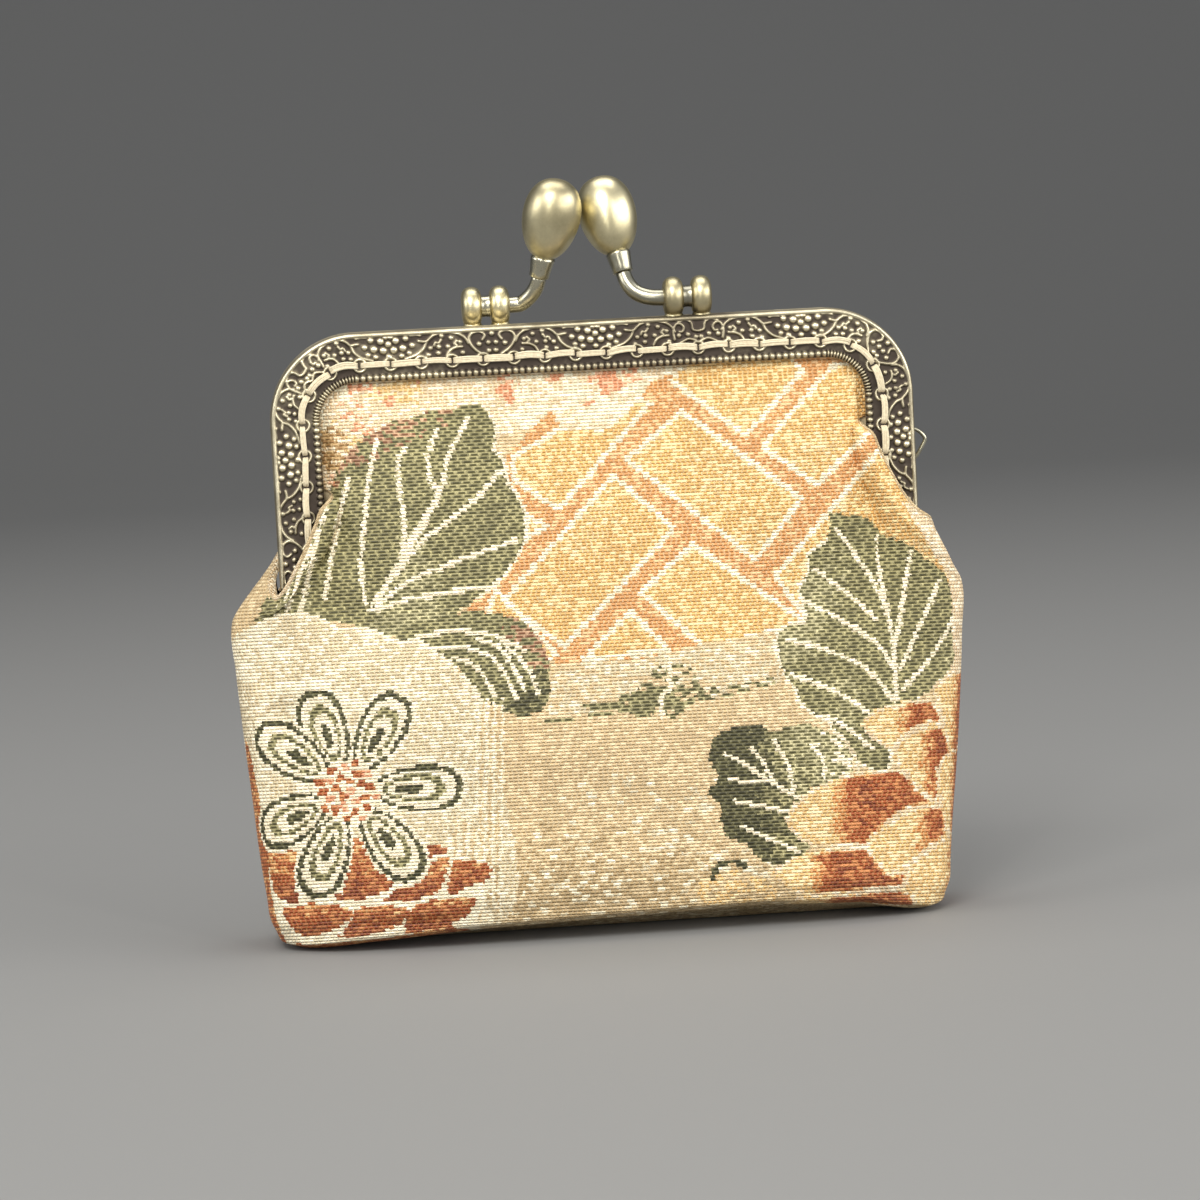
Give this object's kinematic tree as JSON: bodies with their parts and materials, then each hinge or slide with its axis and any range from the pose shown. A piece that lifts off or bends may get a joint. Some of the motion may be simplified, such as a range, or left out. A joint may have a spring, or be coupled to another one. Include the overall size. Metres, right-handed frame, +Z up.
{
  "type": "fabric_pouch",
  "caption": "Small brocade pouch sewn into an embossed antique brass frame with a kiss-lock clasp, closed and standing on its boxed base",
  "frame": {"origin": "middle of the base, on the surface that the pouch stands on", "axes": "+Z up through the clasp, +X to the right seen from the front, -Y the front face"},
  "size_m": [0.0977, 0.028, 0.0995],
  "materials": {
    "brocade": "woven",
    "frame_metal": "antique",
    "clasp_metal": "satin"
  },
  "bodies": {
    "root": {"front_panel": "brocade", "back_panel": "brocade", "frame_front": "frame_metal", "frame_back": "frame_metal", "hinge_rivet_left": "frame_metal", "hinge_rivet_right": "frame_metal", "clasp_bead_left": "clasp_metal", "clasp_bead_right": "clasp_metal", "chain_loop": "clasp_metal"}
  },
  "joints": []
}
